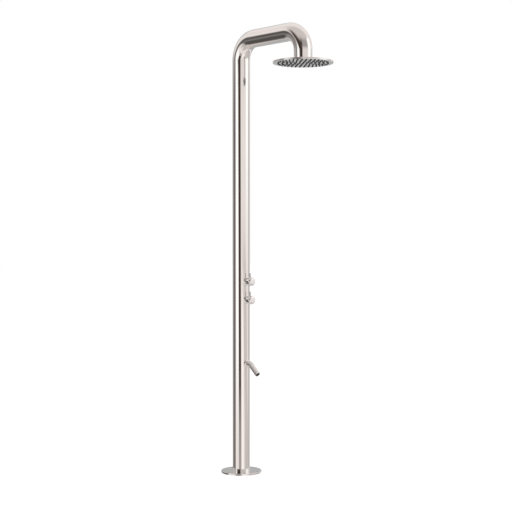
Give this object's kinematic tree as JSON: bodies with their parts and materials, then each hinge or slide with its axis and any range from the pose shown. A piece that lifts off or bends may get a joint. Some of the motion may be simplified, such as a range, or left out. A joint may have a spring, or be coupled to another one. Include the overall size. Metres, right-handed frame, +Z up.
{
  "type": "outdoor shower post",
  "caption": "Free-standing outdoor shower: round steel post bent over to a flat rain head, with two turning knobs, a foot tap and a round base plate to bolt down.",
  "frame": {"origin": "centre of the base plate's underside, on the post's axis and on the ground", "axes": "+Z up along the post; the arm, the knobs and the foot tap face -Y; +X to the right of someone who looks along +Y at the knobs"},
  "size_m": [0.29, 0.6975, 2.2345],
  "materials": {
    "polished_steel": "stainless steel tube, polished to a soft mirror",
    "plate_steel": "stainless steel plate, polished",
    "spray_steel": "stainless steel sheet, polished",
    "inner_steel": "plain drawn stainless steel",
    "knob_steel": "turned stainless steel, polished",
    "tap_steel": "turned stainless steel, polished",
    "screw_steel": "stainless steel set screw",
    "brass": "machined brass, unplated",
    "silicone": "moulded silicone rubber, dark grey",
    "seal_rubber": "moulded rubber",
    "black_plastic": "moulded plastic, black"
  },
  "bodies": {
    "post": {"base_plate": "plate_steel", "post_tube": "polished_steel", "rear_elbow": "polished_steel", "arm_tube": "polished_steel", "front_elbow": "polished_steel", "drop_tube": "polished_steel", "drop_plug": "inner_steel", "head_seal": "seal_rubber", "head_hub": "brass", "head_shell": "polished_steel", "nozzle_mat": "silicone", "spray_plate": "spray_steel", "head_nipple": "brass", "riser_union": "brass", "riser_pipe": "inner_steel", "supply_pipe": "inner_steel", "foot_pipe": "inner_steel", "inlet_nipple": "brass", "inlet_bracket": "inner_steel", "inlet_nut": "brass", "valve_manifold": "brass", "tap_rose": "tap_steel", "tap_body": "tap_steel", "tap_nut": "brass", "tap_elbow": "brass", "spout": "tap_steel", "aerator": "black_plastic", "shower_rose": "knob_steel", "shower_ring_nut": "knob_steel", "shower_cartridge": "brass", "foot_rose": "knob_steel", "foot_ring_nut": "knob_steel", "foot_cartridge": "brass"},
    "shower_control": {"shower_spindle": "brass", "shower_knob": "knob_steel", "shower_pin": "knob_steel", "shower_grub_screw": "screw_steel"},
    "foot_control": {"foot_spindle": "brass", "foot_knob": "knob_steel", "foot_pin": "knob_steel", "foot_grub_screw": "screw_steel"}
  },
  "joints": [
    {"name": "shower_knob_turn", "type": "hinge", "parent": "post", "child": "shower_control", "pos_m": [0, -0.075, 0.973], "axis": [0, -1, 0], "range_deg": [0, 90]},
    {"name": "foot_knob_turn", "type": "hinge", "parent": "post", "child": "foot_control", "pos_m": [0, -0.075, 0.88], "axis": [0, -1, 0], "range_deg": [0, 90]}
  ]
}
